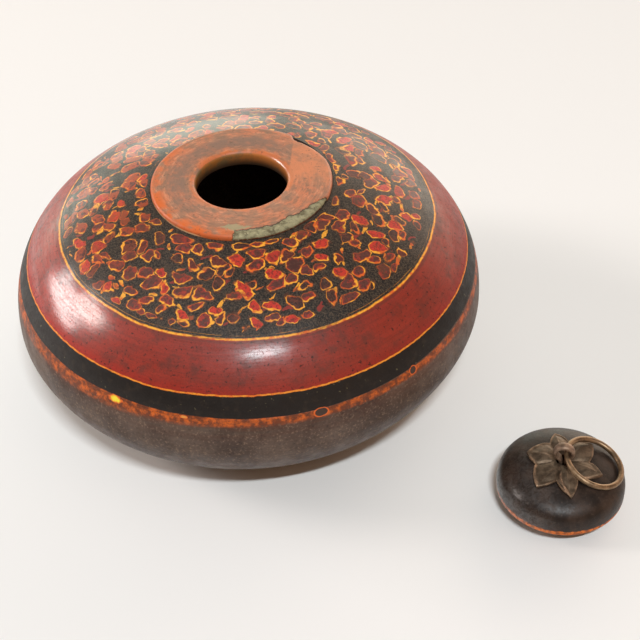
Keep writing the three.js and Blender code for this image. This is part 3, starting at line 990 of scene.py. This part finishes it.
def collar_top_coat(paint, mottle, grain):
    """Brick red in turning lines, rubbed brown round the back and orange on the outside and the lip."""
    turning = paint.streaks(60, 700, 3, 0.65)
    middle = paint.radius.ramp(*WORN_TO) * paint.radius.ramp(*WORN_FROM)
    worn = middle * paint.bearing(130).ramp(-0.6, 0.6) * mottle.ramp(0.3, 0.55, 0.3, 0.8)
    outer = paint.radius.ramp(*OUTER_ZONE) * paint.bearing(200).ramp(0.1, 0.8)
    lip = paint.radius.ramp(*LIP_ZONE, 0, 0.8)

    # A stretch at the back right with a straight edge, where the lacquer was mended
    mended = (paint.x - paint.y * MENDED_SLANT).ramp(*MENDED_FROM) * paint.bearing(40).ramp(0.5, 0.85)

    # The rim, with a pale chip low down at the front left
    rim = paint.radius.ramp(*RIM_ZONE, 0, 0.7) * paint.bearing(-150).ramp(-0.4, 0.6, 0.3, 1)
    chip = paint.radius.ramp(*RIM_CHIP_ZONE) * paint.bearing(-145).ramp(0.86, 0.94)
    chip = chip * (paint.z + mottle * mm).ramp(collar_top - 1.2 * mm, collar_top - 2 * mm)

    # Where the lacquer has worn off beside the flaked margin
    ragged = (paint.noise(420, 3, 0.65) - 0.5) * 2.4
    bare = paint.patch(BARE_AZIMUTH, BARE_RADIUS, collar_top, 13 * mm, 8 * mm)
    bare = bare + (paint.radius - BARE_RADIUS).absolute() / (3 * mm) + ragged
    return paint.over(
        BRICK,
        (mottle.ramp(0.38, 0.62), UMBER),
        (turning.ramp(0.45, 0.65, 0, 0.7), WORN_UMBER),
        (turning.ramp(0.45, 0.3, 0, 0.7), PALE_BRICK),
        (worn, WORN_GREY),
        (outer * mottle.ramp(0.66, 0.42), FRESH_ORANGE),
        (lip * mottle.ramp(0.7, 0.45), LIP_ORANGE),
        (mended * mottle.ramp(0.7, 0.45, 0.3, 0.8), MENDED_ORANGE),
        (rim, RIM_ORANGE),
        (chip, BARE_WOOD),
        (grain.ramp(0.6, 0.72, 0, 0.6), GRIME),
        (bare.ramp(1.15, 0.85, 0, 0.85), CORE))


def throat_wall(paint, mottle):
    """The wall of the mouth: ochre, with painted light on its lit side and painted shade darkening it
    lower down.
    """
    return paint.over(
        OCHRE,
        (mottle.ramp(0.35, 0.65), OLIVE),
        # Painted light on the lit side of the wall, then painted shade deeper in the mouth
        (paint.bearing(40).ramp(0.2, 0.9) * mottle.ramp(0.65, 0.4), LIT_OCHRE),
        (paint.z.ramp(collar_top - 1.5 * mm, collar_top - 7 * mm), SHADED_OCHRE))


def flaked_core(paint, mottle, grain, flaked, shade):
    """The grey core where the margin has flaked, with rust at its foot and a line of painted shade round
    it.
    """
    core = paint.over(
        CORE_DARK,
        (paint.noise(320, 4, 0.65).ramp(0.35, 0.62), CORE),
        (grain.ramp(0.55, 0.7), CORE_PALE))
    foot = (paint.z + paint.noise(500, 2) * mm).ramp(collar_seat + 1.3 * mm, collar_seat + 0.9 * mm)
    # Painted shade along the step where the lacquer breaks off
    step = flaked.ramp(0.12, 0.4) * flaked.ramp(0.9, 0.6)
    return paint.over(
        shade,
        (flaked.ramp(0.35, 0.65), core),
        (foot * flaked * mottle.ramp(0.4, 0.5), RUST),
        (step * mottle.ramp(0.35, 0.5, 0.3, 0.9), STEP_SHADE))


def collar_lacquer():
    """Orange-red lacquer, rubbed brown on top, flaked to the core along its edge."""
    paint = Finish("collar_lacquer")
    mottle = paint.noise(130, 5, 0.65)
    grain = paint.noise(700, 3, 0.6)
    flaked = paint.attribute("flaked")
    throat = paint.radius.ramp(MOUTH_RADIUS + 0.7 * mm, MOUTH_RADIUS + 0.3 * mm)
    shade = paint.mix(throat, collar_top_coat(paint, mottle, grain), throat_wall(paint, mottle))
    shade = flaked_core(paint, mottle, grain, flaked, shade)

    roughness = 0.4 + mottle.ramp(0.3, 0.7, 0, 0.15) + flaked * 0.3
    relief = paint.streaks(20, 500, 3) * 0.4 + grain * 0.5 + mottle * 0.4
    polish = paint.radius.ramp(*POLISHED_LIP) * paint.bearing(25).ramp(0.75, 0.97, 0, 0.9)
    return paint.finished(shade, roughness, relief, 0.1 * mm, coat=polish)


def lid_lacquer():
    """Near black, rubbed to orange along the rim's lower edge, most at the front, and bare under it."""
    paint = Finish("lid_lacquer", lid_centre)
    grain = paint.noise(900, 3, 0.65)
    mottle = paint.noise(130, 4, 0.6)
    rim = LID_SPIGOT_HEIGHT
    reach = paint.bearing(-125).ramp(-0.2, 0.9, 0.9, 2.6) * mm
    ragged = (paint.noise(340, 4, 0.7) - 0.5) * (3 * mm)
    worn = (paint.z + ragged - reach).ramp(rim + 0.5 * mm, rim - 0.3 * mm)
    worn = worn.most((paint.z + ragged * 0.25).ramp(rim + 1.3 * mm, rim + 0.9 * mm))
    worn_shade = paint.mix(paint.noise(600, 2).ramp(0.35, 0.6), WORN_RIM_DARK, WORN_RIM)
    hidden = paint.radius.ramp(LID_RADIUS - 1 * mm, LID_RADIUS - 2 * mm)
    hidden = hidden * paint.z.ramp(rim + 1 * mm, rim + 0.5 * mm)
    shade = paint.over(
        LID_BLACK,
        (mottle.ramp(0.35, 0.7), LID_BROWN),
        (grain.ramp(0.55, 0.75, 0, 0.5), LID_DUST),
        (worn, worn_shade),
        (hidden, BROWN))

    scratches = paint.noise(330, 5, 0.75, 1.2)
    roughness = 0.36 + grain.ramp(0.4, 0.7, 0, 0.14) + mottle.ramp(0.4, 0.7, 0, 0.08)
    relief = grain * 0.5 + mottle * 0.4 + scratches * 0.8
    polish = paint.bearing(-165).ramp(0.4, 0.95) * scratches.ramp(0.38, 0.6, 0.2, 1)
    return paint.finished(shade, roughness, relief, 0.11 * mm, coat=polish, haze=0.34, sheen=0.26)


def dark_bronze(name, marked, dark, light):
    """Brown patina, painted a pinkish bronze where the sheet stands proud, for rubbed wear and painted
    highlight together.
    """
    metal = Finish(name, lid_centre)
    mottle = metal.noise(330, 4, 0.65)
    grain = metal.noise(1300, 2, 0.6)
    shade = metal.over(
        dark,
        (mottle.ramp(0.35, 0.65), light),
        (grain.ramp(0.5, 0.75, 0, 0.5), BRONZE_DIRT))
    if marked:
        # Pinkish bronze on the proud curls and folds: rubbed wear, and painted highlight where those edges
        # catch the light
        proud = metal.attribute("rubbed") * metal.noise(260, 3).ramp(0.35, 0.65, 0.1, 0.8)
        shade = metal.mix(proud, shade, BRONZE_RUB_AND_HIGHLIGHT)
    roughness = 0.42 + mottle.ramp(0.3, 0.7, 0, 0.18)
    depth = 0.08 * mm if marked else 0.02 * mm
    return metal.finished(shade, roughness, mottle * 0.4 + grain * 0.3, depth, metallic=0.72)


def ring_brass():
    """Wire in a browner brass than the fitting that holds it."""
    metal = Finish("ring_brass", lid_centre)
    mottle = metal.noise(240, 4, 0.6)
    grain = metal.noise(1200, 2, 0.6)
    shade = metal.over(
        BRASS_DARK,
        (mottle.ramp(0.35, 0.65), BRASS),
        (grain.ramp(0.55, 0.75, 0, 0.5), BRASS_DIRT))
    roughness = 0.34 + mottle.ramp(0.3, 0.7, 0, 0.14)
    return metal.finished(shade, roughness, mottle * 0.5 + grain * 0.3, 0.08 * mm, metallic=0.8)


def camera():
    """The photograph's camera, from its place, its turns in radians and its focal length in pixels."""
    pan, tilt, roll = CAMERA_PAN, CAMERA_TILT, CAMERA_ROLL
    forward = Vector((sin(pan) * cos(tilt), cos(pan) * cos(tilt), -sin(tilt)))
    level = Vector((cos(pan), -sin(pan), 0))
    below = forward.cross(level)
    right = cos(roll) * level + sin(roll) * below
    down = -sin(roll) * level + cos(roll) * below
    data = bpy.data.cameras.new("camera")
    data.sensor_width = 36
    data.lens = FOCAL_PX / FRAME_PX * data.sensor_width
    eye = bpy.data.objects.new("camera", data)
    turn = Matrix((right, -down, -forward)).transposed().to_4x4()
    eye.matrix_world = Matrix.Translation(CAMERA_PLACE) @ turn
    bpy.context.collection.objects.link(eye)
    bpy.context.scene.camera = eye


def table():
    """A plain pale floor that fills the photograph's view."""
    bm = bmesh.new()
    bmesh.ops.create_grid(bm, x_segments=1, y_segments=1, size=3.0)
    top = add_mesh(bm, "table", Finish("table_top").finished(TABLE_WHITE, 0.7))


def soft_light(name, azimuth, elevation, distance, width, height, radiance, tint):
    """A rectangular light that faces the box from a direction in degrees and a distance in metres."""
    turn, rise = radians(azimuth), radians(elevation)
    data = bpy.data.lights.new(name, "AREA")
    data.shape = "RECTANGLE"
    data.size = width
    data.size_y = height
    data.energy = radiance * pi * width * height
    data.color = tint
    light = bpy.data.objects.new(name, data)
    aim = Vector((cos(rise) * cos(turn), cos(rise) * sin(turn), sin(rise)))
    light.location = aim * distance + Vector((0, 0, 0.08))
    light.rotation_euler = aim.to_track_quat("Z", "Y").to_euler()
    bpy.context.collection.objects.link(light)


def room():
    """A room that is bright low down at the back, and dark and warm behind the camera."""
    world = bpy.data.worlds.new("room")
    world.use_nodes = True
    sky = Nodes(world.node_tree)
    direction = sky.node("ShaderNodeTexCoord", output="Generated")
    _, back, up = sky.split(direction)
    far_wall = sky.scaled((2.6, 2.7, 2.3), back.ramp(0.55, 0.9) * up.ramp(0.5, 0.15))
    corner = sky.vector("DOT_PRODUCT", direction, (0.64, 0.76, 0.1), "Value")
    far_corner = sky.scaled((2.6, 2.0, 1.6), corner.ramp(0.78, 0.97))
    ceiling = sky.scaled((0.25, 0.25, 0.25), up.ramp(0.6, 0.95))
    light = sky.vector("ADD", sky.vector("ADD", far_wall, far_corner), ceiling)
    warm_corner = sky.vector("DOT_PRODUCT", direction, (0.7, -0.68, 0.2), "Value")
    light = sky.vector("ADD", light, sky.scaled((0.5, 0.26, 0.12), warm_corner.ramp(0.6, 0.95)))
    light = sky.vector("ADD", light, (0.08, 0.058, 0.045))
    background = sky.node("ShaderNodeBackground", inputs={"Color": light, "Strength": 1.0})
    sky.node("ShaderNodeOutputWorld", inputs={"Surface": background})
    bpy.context.scene.world = world


camera()
table()
room()
soft_light("window", azimuth=162, elevation=18, distance=2.5, width=1.1, height=0.68,
           radiance=10.6, tint=(1, 0.94, 0.91))
soft_light("skylight", azimuth=171, elevation=31, distance=2.5, width=0.7, height=0.5,
           radiance=13, tint=(1, 0.88, 0.82))
soft_light("lamp", azimuth=-83, elevation=56.5, distance=4, width=0.85, height=0.12,
           radiance=330, tint=(0.93, 0.99, 1.02))
bpy.context.scene.view_settings.view_transform = "Standard"

lid_place = Matrix.Translation(lid_centre)
pin_turn = Matrix.Rotation(RING_AZIMUTH, 4, "Z")
ring_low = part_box("pull_ring")[0].z
droop = asin((eye_height - RING_WIRE / 2 - ring_low) / (2 * RING_RADIUS + RING_SLACK))
ring_place = (lid_place @ Matrix.Translation((0, 0, eye_height)) @ pin_turn
              @ Matrix.Rotation(droop, 4, "Y") @ Matrix.Translation((RING_SLACK + RING_RADIUS, 0, 0)))

add_piece(turned_bowl(), "turned_bowl", "lower_bowl", "box", bowl_lacquer())
add_piece(turned_dome(), "turned_dome", "upper_shell", "box", dome_lacquer())
add_piece(mouth_collar(), "mouth_collar", "collar_ring", "box", collar_lacquer())
add_piece(knob_lid(), "knob_lid", "lid", "lid", lid_lacquer(), lid_place)
add_piece(petal_washer(), "petal_washer", "rosette", "lid",
          dark_bronze("sheet_bronze", True, SHEET_DARK, SHEET_LIGHT), lid_place)
add_piece(eye_strap(), "eye_strap", "split_pin", "lid",
          dark_bronze("strap_bronze", False, STRAP_DARK, STRAP_LIGHT), lid_place @ pin_turn)
add_piece(brass_ring(), "brass_ring", "pull_ring", "ring", ring_brass(), ring_place)
